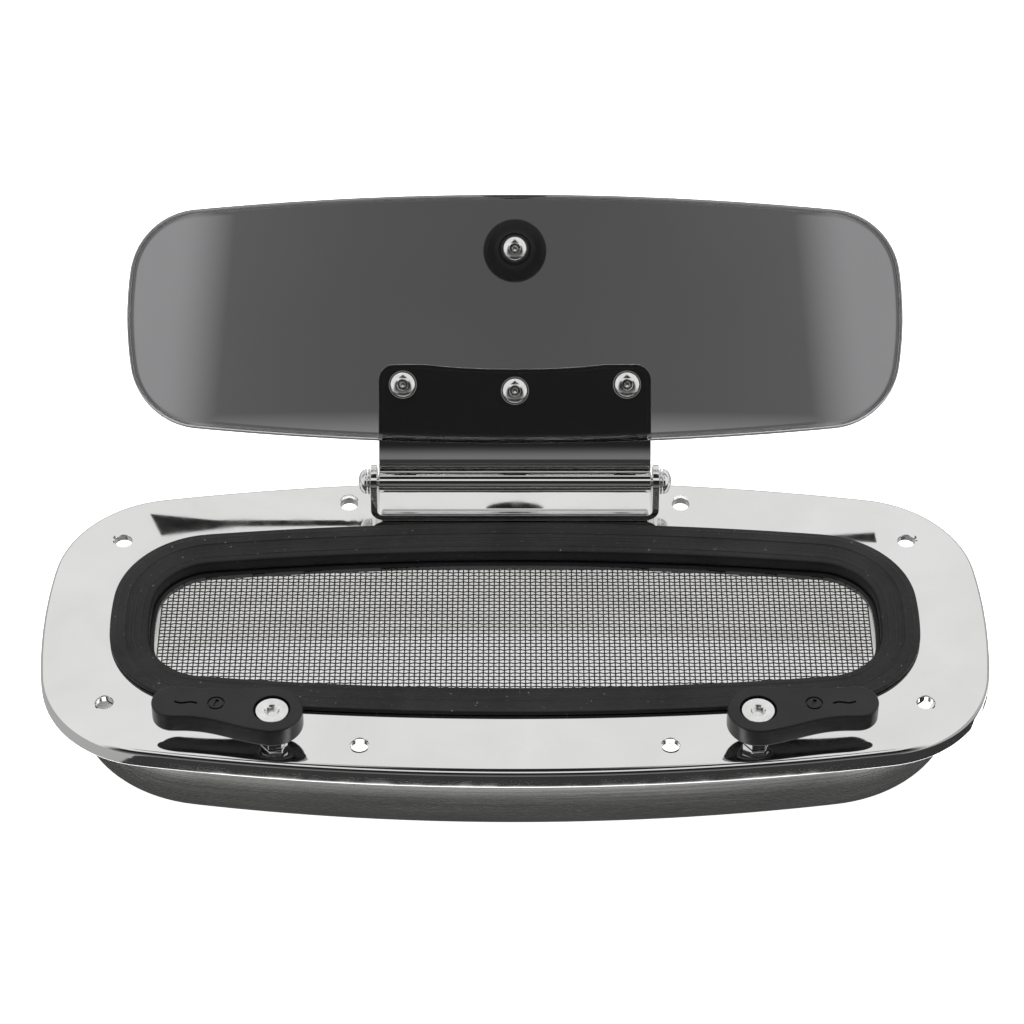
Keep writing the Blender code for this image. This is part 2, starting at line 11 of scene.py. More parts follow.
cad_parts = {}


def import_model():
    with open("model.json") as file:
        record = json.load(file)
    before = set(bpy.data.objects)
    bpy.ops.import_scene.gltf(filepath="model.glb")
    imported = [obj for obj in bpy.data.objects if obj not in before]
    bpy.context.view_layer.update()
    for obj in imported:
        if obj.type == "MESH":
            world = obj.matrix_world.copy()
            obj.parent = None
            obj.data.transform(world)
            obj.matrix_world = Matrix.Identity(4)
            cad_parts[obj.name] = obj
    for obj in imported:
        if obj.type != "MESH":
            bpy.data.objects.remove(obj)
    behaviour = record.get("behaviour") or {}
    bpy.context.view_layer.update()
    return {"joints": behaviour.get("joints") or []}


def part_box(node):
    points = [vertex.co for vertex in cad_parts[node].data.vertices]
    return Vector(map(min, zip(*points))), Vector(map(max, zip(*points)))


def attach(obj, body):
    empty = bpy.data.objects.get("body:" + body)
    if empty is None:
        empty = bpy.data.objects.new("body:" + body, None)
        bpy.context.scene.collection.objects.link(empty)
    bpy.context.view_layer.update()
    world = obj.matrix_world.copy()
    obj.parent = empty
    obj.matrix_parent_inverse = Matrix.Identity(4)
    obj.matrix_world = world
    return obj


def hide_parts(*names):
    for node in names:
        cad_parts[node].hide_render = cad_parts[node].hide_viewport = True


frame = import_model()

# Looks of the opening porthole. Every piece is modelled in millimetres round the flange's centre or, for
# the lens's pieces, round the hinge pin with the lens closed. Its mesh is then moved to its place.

MM = 0.001
TURNED_STEPS = 56
FLAT_FACE_WEIGHT = 80

JOINTS = {joint["name"]: joint for joint in frame["joints"]}
FLANGE_LOW, FLANGE_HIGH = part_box("flange_plate")
CENTRE = Vector((0.0, (FLANGE_LOW.y + FLANGE_HIGH.y) / 2, FLANGE_HIGH.z))
IN_FRAME = Matrix.Translation(CENTRE) @ Matrix.Scale(MM, 4)
PIN = Vector(JOINTS["lens_hinge"]["pos_m"])
PIN_Y, PIN_Z = (PIN.y - CENTRE.y) / MM, (PIN.z - CENTRE.z) / MM
OPEN_TURN = -math.radians(JOINTS["lens_hinge"]["range_deg"][1])
IN_LENS = Matrix.Translation(PIN) @ Matrix.Rotation(OPEN_TURN, 4, "X") @ Matrix.Scale(MM, 4)
ALONG_X = Matrix.Rotation(math.pi / 2, 4, "Y")

# Heights over the flange's face.
SEAL_TOP = (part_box("main_seal")[1].z - CENTRE.z) / MM
SCREEN_TOP = (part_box("screen_frame")[1].z - CENTRE.z) / MM
SCREEN_BOTTOM = (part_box("screen_frame")[0].z - CENTRE.z) / MM
HANDLE_LOW = (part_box("latch_handle_left")[0].z - CENTRE.z) / MM
HANDLE_TOP = (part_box("latch_handle_left")[1].z - CENTRE.z) / MM
POST_TOP = (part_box("latch_post_left")[1].z - CENTRE.z) / MM
SPIGOT_DEPTH = CENTRE.z / MM

# The clearance that keeps pieces which meet from touching.
GAP = 0.3

# Heights round the pin, with the lens closed.
GLASS_SHEET = 5.0
PAD_SPACE = 1.0
LEAF_SHEET = 1.5
GLASS_FACE = SEAL_TOP + GAP - PIN_Z
GLASS_BACK = GLASS_FACE + GLASS_SHEET
PAD_LOW = GLASS_BACK + GAP
LEAF_LOW = PAD_LOW + PAD_SPACE
LEAF_TOP = LEAF_LOW + LEAF_SHEET

# Places round the pin, and half lengths along it.
LENS_Y = -50.4
KNOB_Y = LENS_Y - 21.6
KNUCKLE_HALF = 42.3
EAR_INNER = 42.8
HINGE_SCREWS = {"left": (-34.6, -30.2), "middle": (0.0, -28.3), "right": (34.6, -30.2)}

# The fixing holes on the right half of the flange.
FIXING_PLACES = ((121.4, 35.0), (52.0, 51.9), (121.4, -35.0), (45.4, -52.3))

# Gauze of 18 x 16 wires an inch.
INCH = 25.4
PITCH_X = INCH / 16
PITCH_Y = INCH / 18
WIRE = 0.41


@dataclass(frozen=True)
class Cushion:
    """An oblong of two shallow side arcs and two end arcs, joined by corner arcs."""

    half_x: float
    half_y: float
    side_radius: float
    end_radius: float
    corner_radius: float

    def inset(self, distance):
        return Cushion(*(size - distance for size in vars(self).values()))

    def corner_centre(self):
        """The centre of the corner arc at +X +Y, which touches the side and the end arc from inside."""
        side_centre = Vector((0.0, self.half_y - self.side_radius))
        end_centre = Vector((self.half_x - self.end_radius, 0.0))
        to_side = self.side_radius - self.corner_radius
        to_end = self.end_radius - self.corner_radius
        between = end_centre - side_centre
        along = (to_side**2 - to_end**2 + between.length**2) / (2 * between.length)
        unit = between.normalized()
        across = math.sqrt(to_side**2 - along**2)
        return side_centre + unit * along + Vector((unit.y, -unit.x)) * across

    def outline(self, end_steps=12, corner_steps=22, side_steps=26):
        """Points anticlockwise from +X, with the same number of steps for each inset."""
        corner = self.corner_centre()
        end_centre = Vector((self.half_x - self.end_radius, 0.0))
        side_centre = Vector((0.0, self.half_y - self.side_radius))
        end_turn = math.atan2(corner.y, corner.x - end_centre.x)
        side_turn = math.atan2(corner.y - side_centre.y, corner.x)
        quarter = arc(end_centre, self.end_radius, 0.0, end_turn, end_steps)[:-1]
        quarter += arc(corner, self.corner_radius, end_turn, side_turn, corner_steps)[:-1]
        quarter += arc(side_centre, self.side_radius, side_turn, math.pi / 2, side_steps)
        back = quarter[::-1]
        points = quarter[:-1]
        points += [(-x, y) for x, y in back[:-1]]
        points += [(-x, -y) for x, y in quarter[:-1]]
        points += [(x, -y) for x, y in back[:-1]]
        return points


FLANGE = Cushion(143, 64, 705, 190, 37)
SPIGOT = Cushion(135.2, 51.3, 645, 180, 45)
SEAL = Cushion(122.3, 41, 900, 110, 30)
LENS = Cushion(119.8, 38.4, 1061, 105, 22.3)


# ---------------------------------------------------------------- mesh tools


# A corner is rounded over this share of its shorter side at most, and not at all where the sides are almost
# in line.
MOST_OF_A_SIDE = 0.45
ALMOST_STRAIGHT = math.radians(86)


def arc(centre, radius, start, end, steps):
    """Points of a circle's arc, both ends included."""
    turns = [start + (end - start) * i / steps for i in range(steps + 1)]
    return [(centre[0] + radius * math.cos(t), centre[1] + radius * math.sin(t)) for t in turns]


def circle(radius, steps=TURNED_STEPS, turn=0.0):
    """Points round a circle, the first one not repeated."""
    return arc((0.0, 0.0), radius, turn, turn + 2 * math.pi, steps)[:-1]


def curve(corners, steps):
    """Points of a Bezier curve from four pairs: its start, its two handles and its end."""
    corners = [Vector((x, y, 0.0)) for x, y in corners]
    return [(point.x, point.y) for point in interpolate_bezier(*corners, steps)]


def rounded(profile, radius, steps=4, closed=False, keep=()):
    """The profile with round corners, except at its ends, at the points in keep and where it is flat."""
    points = [Vector(point) for point in profile]
    made = []
    for i, point in enumerate(points):
        ends = not closed and i in (0, len(points) - 1)
        before = points[i - 1] - point
        after = points[(i + 1) % len(points)] - point
        if ends or i in keep or before.length < 1e-6 or after.length < 1e-6:
            made.append(tuple(point))
            continue
        half = before.angle(after) / 2
        if half > ALMOST_STRAIGHT:
            made.append(tuple(point))
            continue
        room = MOST_OF_A_SIDE * min(before.length, after.length)
        reach = min(radius / math.tan(half), room)
        start = point + before.normalized() * reach
        end = point + after.normalized() * reach
        for k in range(steps + 1):
            t = k / steps
            made.append(tuple(start * (1 - t) ** 2 + point * 2 * t * (1 - t) + end * t**2))
    return made


def loft(loops, ring=False):
    """A bmesh through loops of equal count, each a list of points, with flat ends or closed as a ring."""
    shape = bmesh.new()
    rows = [[shape.verts.new(point) for point in loop] for loop in loops]
    pairs = list(zip(rows, rows[1:]))
    if ring:
        pairs.append((rows[-1], rows[0]))
    else:
        shape.faces.new(rows[0])
        shape.faces.new(rows[-1])
    for low, high in pairs:
        for i in range(len(low)):
            following = (i + 1) % len(low)
            shape.faces.new((low[i], low[following], high[following], high[i]))
    return outward(shape)


def outward(shape):
    """The shape with its faces turned outwards."""
    bmesh.ops.recalc_face_normals(shape, faces=shape.faces)
    if shape.calc_volume(signed=True) < 0:
        bmesh.ops.reverse_faces(shape, faces=shape.faces)
    return shape


def prism(outline, low, high):
    """An upright prism over an outline."""
    return loft([[(x, y, z) for x, y in outline] for z in (low, high)])


def turned(profile, ring=False, steps=TURNED_STEPS, x=0.0, y=0.0):
    """A turned piece about Z from (radius, z) pairs."""
    return loft([[(x + px, y + py, z) for px, py in circle(r, steps)] for r, z in profile], ring)


def sleeve(bore, radius, low, high, edge=0.15, x=0.0, y=0.0):
    """A washer or a sleeve with slightly rounded edges."""
    profile = rounded([(bore, low), (radius, low), (radius, high), (bore, high)], edge, 3, closed=True)
    return turned(profile, True, x=x, y=y)


def around(cushion, profile, y_shift=0.0):
    """Loops that follow a cushion outline, one for each (inset, z) pair."""
    return [[(x, y + y_shift, z) for x, y in cushion.inset(inset).outline()] for inset, z in profile]


def moved(shape, matrix):
    """The shape, moved by the matrix."""
    bmesh.ops.transform(shape, matrix=matrix, verts=shape.verts)
    return shape


def merged(shapes):
    """One bmesh from several that don't touch."""
    kept = shapes[0]
    for shape in shapes[1:]:
        copy = bpy.data.meshes.new("copy")
        shape.to_mesh(copy)
        kept.from_mesh(copy)
        bpy.data.meshes.remove(copy)
        shape.free()
    return kept


def linked(name, shape):
    """An object in the scene from a bmesh, which is freed."""
    mesh = bpy.data.meshes.new(name)
    shape.to_mesh(mesh)
    shape.free()
    made = bpy.data.objects.new(name, mesh)
    bpy.context.scene.collection.objects.link(made)
    return made


def taken(obj):
    """The object's mesh as a bmesh, and the object removed."""
    shape = bmesh.new()
    shape.from_mesh(obj.data)
    bpy.data.objects.remove(obj)
    return shape


def apply_modifiers(obj):
    """Put the mesh with its modifiers applied in place of the object's own."""
    mesh = bpy.data.meshes.new_from_object(obj.evaluated_get(bpy.context.evaluated_depsgraph_get()))
    obj.modifiers.clear()
    obj.data = mesh


def cut(obj, tool, operation="DIFFERENCE"):
    """Apply a Boolean with a bmesh at once."""
    other = linked("tool", tool)
    made = obj.modifiers.new("cut", "BOOLEAN")
    made.operation = operation
    made.solver = "EXACT"
    made.object = other
    apply_modifiers(obj)
    bpy.data.objects.remove(other)


def bevel(obj, width, segments=3, angle=50.0):
    """Round the edges that are sharper than the angle."""
    made = obj.modifiers.new("edges", "BEVEL")
    made.width = width
    made.segments = segments
    made.limit_method = "ANGLE"
    made.angle_limit = math.radians(angle)
    made.miter_outer = "MITER_ARC"
    apply_modifiers(obj)


def piece(name, source, matrix, body, slot, bevels=None, cuts=(), crease=32.0):
    """Finish a piece from a bmesh, moved to its place in the row and riding on its body for its CAD node.

    The slot also names its surface, and edges sharper than the crease, in degrees, stay sharp.
    """
    obj = linked(f"{name}_look", source)
    if bevels:
        bevel(obj, *bevels)
    for tool in cuts:
        cut(obj, tool)
    obj.data.transform(matrix)
    obj.data.materials.clear()
    obj.data.materials.append(SURFACES[slot])
    obj.data.shade_smooth()
    obj.data.set_sharp_from_angle(angle=math.radians(crease))
    weights = obj.modifiers.new("flat_faces_stay_flat", "WEIGHTED_NORMAL")
    weights.keep_sharp = True
    weights.weight = FLAT_FACE_WEIGHT
    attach(obj, body)
    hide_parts(name)


# ---------------------------------------------------------------- materials


class Surface:
    """A Principled material with small helpers for its pattern."""

    def __init__(self, name, color, roughness, metallic=0.0, **sockets):
        self.material = bpy.data.materials.new(name)
        self.material.use_nodes = True
        self.tree = self.material.node_tree
        self.shader = self.tree.nodes["Principled BSDF"]
        self.place = self.tree.nodes.new("ShaderNodeTexCoord").outputs["Object"]
        self.set("Base Color", (*color, 1.0))
        self.set("Roughness", roughness)
        self.set("Metallic", metallic)
        for key, value in sockets.items():
            self.set(key.replace("_", " "), value)

    def set(self, socket, value):
        self.shader.inputs[socket].default_value = value

    def node(self, kind, **values):
        made = self.tree.nodes.new(kind)
        for key, value in values.items():
            setattr(made, key, value)
        return made

    def link(self, source, target):
        self.tree.links.new(source, target)

    def noise(self, scale, detail=3.0, stretch=(1.0, 1.0, 1.0), distortion=0.0):
        """Noise with the given number of cells a metre, times the stretch along each axis."""
        mapping = self.node("ShaderNodeMapping")
        mapping.inputs["Scale"].default_value = stretch
        self.link(self.place, mapping.inputs["Vector"])
        made = self.node("ShaderNodeTexNoise")
        made.inputs["Scale"].default_value = scale
        made.inputs["Detail"].default_value = detail
        made.inputs["Distortion"].default_value = distortion
        self.link(mapping.outputs["Vector"], made.inputs["Vector"])
        return made.outputs["Fac"]

    def spread(self, source, low, high, start=0.3, end=0.7):
        """The source's range from start to end, stretched over low to high."""
        made = self.node("ShaderNodeMapRange")
        made.inputs["From Min"].default_value = start
        made.inputs["From Max"].default_value = end
        made.inputs["To Min"].default_value = low
        made.inputs["To Max"].default_value = high
        self.link(source, made.inputs["Value"])
        return made.outputs["Result"]

    def colours(self, source, first, second, start=0.3, end=0.7):
        """A blend of two colours by the source."""
        ramp = self.node("ShaderNodeValToRGB")
        ramp.color_ramp.elements[0].position = start
        ramp.color_ramp.elements[1].position = end
        ramp.color_ramp.elements[0].color = (*first, 1.0)
        ramp.color_ramp.elements[1].color = (*second, 1.0)
        self.link(source, ramp.inputs["Fac"])
        return ramp.outputs["Color"]

    def flecked(self, ground, source, colour, start, blur=0.03):
        """The ground with small flecks of a colour where the source is above the start."""
        mix = self.node("ShaderNodeMix", data_type="RGBA")
        self.link(self.spread(source, 0.0, 1.0, start, start + blur), mix.inputs["Factor"])
        self.link(ground, mix.inputs["A"])
        mix.inputs["B"].default_value = (*colour, 1.0)
        return mix.outputs["Result"]

    def paint(self, source):
        self.link(source, self.shader.inputs["Base Color"])

    def roughen(self, source):
        self.link(source, self.shader.inputs["Roughness"])

    def bumps(self, *layers):
        """Bump layers, each (source, strength, depth in millimetres)."""
        below = None
        for source, strength, depth in layers:
            made = self.node("ShaderNodeBump")
            made.inputs["Strength"].default_value = strength
            made.inputs["Distance"].default_value = depth * MM
            self.link(source, made.inputs["Height"])
            if below:
                self.link(below, made.inputs["Normal"])
            below = made.outputs["Normal"]
        self.link(below, self.shader.inputs["Normal"])


def polished_steel():
    """Mirror-polished sheet: faint smudges, a trace of the polishing wheel and a slight waviness."""
    s = Surface("polished_steel", (0.86, 0.86, 0.85), 0.05, 1.0)
    smudge = s.noise(38, 5.0, distortion=0.6)
    s.paint(s.colours(smudge, (0.83, 0.83, 0.82), (0.89, 0.89, 0.885)))
    s.roughen(s.spread(s.noise(120, 6.0, distortion=0.4), 0.03, 0.085))
    wave = s.noise(14, 1.0)
    wheel = s.noise(260, 2.0, stretch=(0.12, 1.0, 1.0))
    s.bumps((wave, 0.06, 0.5), (wheel, 0.008, 0.02))
    return s.material


def brushed_steel():
    """Satin sheet brushed round the spigot: long streaks that are very fine across the brushing."""
    s = Surface("brushed_steel", (0.56, 0.555, 0.54), 0.26, 1.0, Anisotropic=0.4)
    streaks = s.noise(1.0, 3.0, stretch=(10, 10, 2600))
    broad = s.noise(1.0, 3.0, stretch=(18, 18, 260))
    s.paint(s.colours(broad, (0.47, 0.465, 0.455), (0.62, 0.615, 0.60), 0.25, 0.75))
    s.roughen(s.spread(streaks, 0.20, 0.32))
    s.bumps((streaks, 0.03, 0.02))
    return s.material


def fastener_steel():
    """Turned and rolled stainless screws, bright with slight tool marks."""
    s = Surface("fastener_steel", (0.88, 0.88, 0.87), 0.12, 1.0)
    marks = s.noise(900, 4.0)
    s.paint(s.colours(s.noise(300, 3.0), (0.80, 0.80, 0.79), (0.93, 0.93, 0.92)))
    s.roughen(s.spread(marks, 0.09, 0.22))
    s.bumps((marks, 0.06, 0.02))
    return s.material


def black_rubber():
    """Moulded rubber: fine grain, a dull bloom, and specks of dust."""
    s = Surface("black_rubber", (0.009, 0.009, 0.0095), 0.5)
    s.set("Specular IOR Level", 0.32)
    bloom = s.noise(45, 5.0, distortion=0.5)
    dull = s.colours(bloom, (0.006, 0.006, 0.0065), (0.013, 0.013, 0.0135))
    s.paint(s.flecked(dull, s.noise(1100, 2.0), (0.22, 0.22, 0.22), 0.735))
    s.roughen(s.spread(s.noise(700, 3.0), 0.42, 0.60))
    s.bumps((s.noise(3200, 3.0), 0.35, 0.05), (s.noise(260, 2.0), 0.15, 0.08))
    return s.material


def black_plastic():
    """Satin moulded nylon with a fine spark-eroded texture."""
    s = Surface("black_plastic", (0.009, 0.009, 0.0095), 0.3)
    s.set("Specular IOR Level", 0.30)
    s.paint(s.colours(s.noise(60, 4.0), (0.007, 0.007, 0.0075), (0.012, 0.012, 0.0125)))
    s.roughen(s.spread(s.noise(500, 3.0), 0.19, 0.27))
    s.bumps((s.noise(4200, 2.0), 0.12, 0.02), (s.noise(90, 2.0), 0.05, 0.10))
    return s.material


def black_nylon():
    """Plain turned nylon for bushes and washers."""
    s = Surface("black_nylon", (0.03, 0.03, 0.03), 0.5)
    s.paint(s.colours(s.noise(200, 3.0), (0.022, 0.022, 0.022), (0.04, 0.04, 0.04)))
    s.roughen(s.spread(s.noise(800, 3.0), 0.42, 0.6))
    s.bumps((s.noise(2500, 2.0), 0.2, 0.03))
    return s.material


def screen_gauze():
    """Coated wire, a little uneven in tone from wire to wire."""
    s = Surface("screen_gauze", (0.02, 0.02, 0.02), 0.45)
    s.paint(s.colours(s.noise(400, 2.0), (0.010, 0.010, 0.0105), (0.032, 0.032, 0.032)))
    s.roughen(s.spread(s.noise(1500, 2.0), 0.36, 0.55))
    return s.material


def smoked_glass():
    """Grey tinted glass that lets lamps through, with its tint a little uneven."""
    s = Surface("smoked_glass", (0.27, 0.27, 0.275), 0.0, 0.0, IOR=1.5)
    s.set("Transmission Weight", 1.0)
    s.paint(s.colours(s.noise(12, 2.0), (0.262, 0.260, 0.266), (0.288, 0.285, 0.292)))
    clear = s.node("ShaderNodeBsdfTransparent")
    clear.inputs["Color"].default_value = (0.42, 0.42, 0.425, 1.0)
    ray = s.node("ShaderNodeLightPath").outputs["Is Shadow Ray"]
    mix = s.node("ShaderNodeMixShader")
    s.link(ray, mix.inputs["Fac"])
    s.link(s.shader.outputs["BSDF"], mix.inputs[1])
    s.link(clear.outputs["BSDF"], mix.inputs[2])
    s.link(mix.outputs["Shader"], s.tree.nodes["Material Output"].inputs["Surface"])
    s.bumps((s.noise(9, 1.0), 0.03, 0.3))
    return s.material


SURFACES = {
    "polished_steel": polished_steel(),
    "brushed_steel": brushed_steel(),
    "fastener_steel": fastener_steel(),
    "black_rubber": black_rubber(),
    "black_plastic": black_plastic(),
    "black_nylon": black_nylon(),
    "screen_gauze": screen_gauze(),
    "smoked_glass": smoked_glass(),
}


# ---------------------------------------------------------------- frame


def flange():
    """The polished plate with its turned-down rim and a shallow dish round each fixing hole."""
    rim, rim_sheet, sheet = 6.5, 2.2, 2.5
    roll = [(5.0, 0.0), (1.8, -0.05), (0.0, -0.7), (0.0, -3.4)]
    below = [roll[-1], (0.0, -rim), (rim_sheet, -rim), (rim_sheet, -sheet), (4.0, -sheet)]
    outside = curve(roll, 18) + rounded(below, 0.4)[1:-1]
    opening = 3.6
    inside = [(opening - 1, -sheet), (opening, -sheet), (opening, 0.0), (0.0, 0.0)]
    loops = around(FLANGE, outside) + around(SEAL, rounded(inside, 0.2)[1:])
    hole, sink, depth = 2.6, 4.4, 0.45
    dish = [(sink, 0.0), (hole + 0.15, -depth), (hole, -0.8), (hole, -sheet - 1.0)]
    dish = [(sink, 1.0)] + rounded(dish, 0.3)
    tools = [turned(dish, steps=48, x=side * x, y=y) for x, y in FIXING_PLACES for side in (-1, 1)]
    piece("flange_plate", loft(loops, True), IN_FRAME, "frame", "polished_steel",
          cuts=[merged(tools)], crease=38)


def spigot_body():
    """The pressed channel behind the flange: outer wall, floor, inner wall and the seal's shelf.

    The outer wall follows the spigot's outline, and the rest follows the seal's.
    """
    sheet, bend, top = 1.5, 5.0, -2.8
    floor = -SPIGOT_DEPTH
    outer = [(0.0, top)] + arc((bend, floor + bend), bend, math.pi, 1.5 * math.pi, 10)
    inner = arc((bend, floor + bend), bend - sheet, 1.5 * math.pi, math.pi, 8) + [(sheet, top)]
    shelf, seat = -5.8, SCREEN_BOTTOM - GAP
    wall, neck, rim = 11.0, 8.7, 4.2
    middle = [
        (wall, floor), (wall, seat), (neck, seat), (neck, shelf), (rim, shelf),
        (rim, shelf - sheet), (neck - sheet, shelf - sheet), (neck - sheet, seat - sheet),
        (wall - sheet, seat - sheet), (wall - sheet, floor + sheet),
    ]
    loops = around(SPIGOT, outer) + around(SEAL, rounded(middle, 0.5, 3)) + around(SPIGOT, inner)
    piece("spigot_body", loft(loops, True), IN_FRAME, "frame", "brushed_steel", crease=40)


def main_seal():
    """The moulded ring that the lens closes on, with raised sealing lines and a lip down to the screen."""
    foot, edge = GAP, 0.5
    slope = [(edge, SEAL_TOP), (3.8, SEAL_TOP - 0.1), (5.8, 1.0), (11.0, 0.4), (11.7, -0.2)]
    lines = {2.0: 0.12, 4.5: 0.26, 6.2: 0.12, 7.3: 0.12, 9.4: 0.24}
    half_line = 0.36
    over_lines = {line + half_line * k / 3 for line in lines for k in range(-3, 4)}
    face = []
    for inset in sorted({inset for inset, z in slope} | over_lines):
        (a, low), (b, high) = next(pair for pair in zip(slope, slope[1:]) if inset <= pair[1][0])
        nearest = min(lines, key=lambda line: abs(inset - line))
        ridge = lines[nearest] * math.cos(math.pi / 2 * min(abs(inset - nearest) / half_line, 1.0))
        face.append((inset, low + (high - low) * (inset - a) / (b - a) + ridge))
    corner = arc((edge, SEAL_TOP - edge), edge, math.pi, math.pi / 2, 6)[:-1]
    lip_out, lip_in, throat = 9.0, face[-1][0], 3.9
    lip_low, step = SCREEN_TOP + GAP, -5.5
    lip = [face[-1], (lip_in, lip_low), (lip_out, lip_low), (lip_out, step), (throat, step), (throat, foot)]
    profile = [(0.0, foot)] + corner + face + rounded(lip, 0.4, 3)[1:]
    piece("main_seal", loft(around(SEAL, profile), True), IN_FRAME, "frame", "black_rubber", crease=60)


def screen_frame():
    """The moulded frame that clips the gauze in, with a small step on its face."""
    top, low, step = SCREEN_TOP, SCREEN_BOTTOM, 0.3
    outer, inner = 9.0 + GAP, 13.0
    profile = [(outer, top), (inner - 0.7, top), (inner - 0.5, top - step), (inner, top - step)]
    profile += [(inner, low), (outer, low)]
    ring = loft(around(SEAL, rounded(profile, 0.2, 3, closed=True)), True)
    piece("screen_frame", ring, IN_FRAME, "frame", "black_plastic", crease=50)


def reach_at(outline, at, axis):
    """How far the outline reaches across the axis, 0 for X and 1 for Y, at a distance along it."""
    best = 0.0
    for start, end in zip(outline, outline[1:] + outline[:1]):
        (a0, b0), (a1, b1) = (start, end) if axis == 0 else (start[::-1], end[::-1])
        if min(a0, a1) <= at <= max(a0, a1) and a0 != a1:
            best = max(best, b0 + (b1 - b0) * (at - a0) / (a1 - a0))
    return best


def wire(shape, points, sides=6):
    """Add a thin wire through points, with closed ends."""
    turns = [2 * math.pi * k / sides for k in range(sides)]
    rows = []
    for i, point in enumerate(points):
        along = (points[min(i + 1, len(points) - 1)] - points[max(i - 1, 0)]).normalized()
        across = along.cross(Vector((0, 0, 1))).normalized()
        up = across.cross(along)
        offsets = [(across * math.cos(t) + up * math.sin(t)) * WIRE / 2 for t in turns]
        rows.append([shape.verts.new(point + offset) for offset in offsets])
    for low, high in zip(rows, rows[1:]):
        for k in range(sides):
            shape.faces.new((low[k], low[(k + 1) % sides], high[(k + 1) % sides], high[k]))
    shape.faces.new(rows[0])
    shape.faces.new(rows[-1][::-1])


def screen_mesh():
    """Plain-woven wires, over and under at each crossing, which end inside the screen's frame."""
    edge = 13.2
    outline = SEAL.inset(edge).outline()
    middle = (SCREEN_TOP + SCREEN_BOTTOM) / 2
    lift = WIRE * 0.52
    shape = bmesh.new()
    ways = ((SEAL.half_x, PITCH_X, PITCH_Y), (SEAL.half_y, PITCH_Y, PITCH_X))
    for axis, (half, pitch, crossing) in enumerate(ways):
        wires = int((half - edge) / pitch)
        for i in range(-wires, wires + 1):
            reach = int(reach_at(outline, abs(i * pitch), axis) / crossing)
            points = []
            for j in range(-reach, reach + 1):
                place = (i * pitch, j * crossing) if axis == 0 else (j * crossing, i * pitch)
                points.append(Vector((*place, middle + lift * (-1) ** (i + j + axis))))
            if len(points) > 1:
                wire(shape, points)
    piece("screen_mesh", shape, IN_FRAME, "frame", "screen_gauze", crease=80)


# ---------------------------------------------------------------- hinge


# Matrices for pieces that lie along the pin, in the flange's millimetres.
ABOUT_PIN = Matrix.Translation((0.0, PIN_Y, PIN_Z)) @ ALONG_X
UNDER_PIN = Matrix.Translation((0.0, PIN_Y, 0.0)) @ ALONG_X
BRACKET_SHEET = 2.0


def thicken(path, thickness):
    """The closed outline of a sheet whose middle runs along a path."""
    left, right = [], []
    for i, point in enumerate(path):
        before = Vector(path[max(i - 1, 0)])
        after = Vector(path[min(i + 1, len(path) - 1)])
        along = (after - before).normalized()
        side = Vector((-along.y, along.x)) * thickness / 2
        left.append(tuple(Vector(point) + side))
        right.append(tuple(Vector(point) - side))
    return left + right[::-1]


def hinge_bracket():
    """A bent sheet with two upright ears that carry the pin."""
    bend, half_width, ear_radius, pin_hole = 3.0, 7.0, 5.2, 2.05
    middle = EAR_INNER + BRACKET_SHEET / 2
    base = GAP + BRACKET_SHEET / 2
    right = [(0.0, base)] + arc((middle - bend, base + bend), bend, -math.pi / 2, 0.0, 10)
    right.append((middle, PIN_Z + 7.0))
    path = [(-x, z) for x, z in right[::-1]] + right[1:]
    upright = Matrix.Translation((0.0, PIN_Y, 0.0)) @ Matrix.Rotation(math.pi / 2, 4, "X")
    obj = linked("bracket", moved(prism(thicken(path, BRACKET_SHEET), -half_width, half_width), upright))
    past_ears = EAR_INNER + 5
    side_view = arc((-PIN_Z, 0.0), ear_radius, math.radians(105), math.radians(255), 28)
    side_view += [(1.0, -half_width - 1), (1.0, half_width + 1)]
    cut(obj, moved(prism(side_view, -past_ears, past_ears), UNDER_PIN), "INTERSECT")
    cut(obj, moved(prism(circle(pin_hole), -past_ears, past_ears), ABOUT_PIN))
    piece("hinge_bracket", taken(obj), IN_FRAME, "frame", "polished_steel", bevels=(0.15, 2, 60))


def hinge_pin_set():
    """The pin with its domed head, its cap nut and a washer under each."""
    pin_radius, nut_bore, washer_radius, washer_sheet = 1.9, 2.05, 4.1, 0.6
    washer_in = EAR_INNER + BRACKET_SHEET + GAP
    washer_out = washer_in + washer_sheet
    seat = washer_out + GAP
    dome = [(0.3, 2.72), (1.2, 2.66), (2.1, 2.42), (2.9, 1.98)]
    dome += [(3.5, 1.4), (3.85, 0.75), (3.95, 0.2), (3.8, 0.0)]
    pin = [(r, -seat - z) for r, z in dome] + [(pin_radius, -seat), (pin_radius, seat + 1.0)]
    nut = [(r, seat + z) for r, z in dome] + [(nut_bore, seat), (nut_bore, seat + 1.3)]
    for name, profile in (("hinge_pin", pin), ("hinge_cap_nut", nut)):
        piece(name, moved(turned(profile), ABOUT_PIN), IN_FRAME, "frame", "fastener_steel", crease=50)
    for name, side in (("left", -1), ("right", 1)):
        ends = sorted((side * washer_in, side * washer_out))
        washer = sleeve(nut_bore, washer_radius, *ends, 0.12)
        piece(f"hinge_washer_{name}", moved(washer, ABOUT_PIN), IN_FRAME, "frame", "fastener_steel")


def leaf_plan(inset):
    """The leaf seen from its face: round corners and a slightly hollow end."""
    half, end, radius = KNUCKLE_HALF - inset, -36.5 + inset, 5.0 - inset
    hollow = end + 1.95
    points = [(half, 8.0), (-half, 8.0)]
    points += arc((-half + radius, end + radius), radius, math.pi, 1.5 * math.pi, 12)
    points += curve([(-28.0, end), (-12.0, hollow), (12.0, hollow), (28.0, end)], 25)
    points += arc((half - radius, end + radius), radius, 1.5 * math.pi, 2 * math.pi, 12)
    return points


def drill(radius, x, y):
    """The tool for a hole through the lens and its leaf."""
    return moved(prism(circle(radius), -15, 8), Matrix.Translation((x, y, 0.0)))


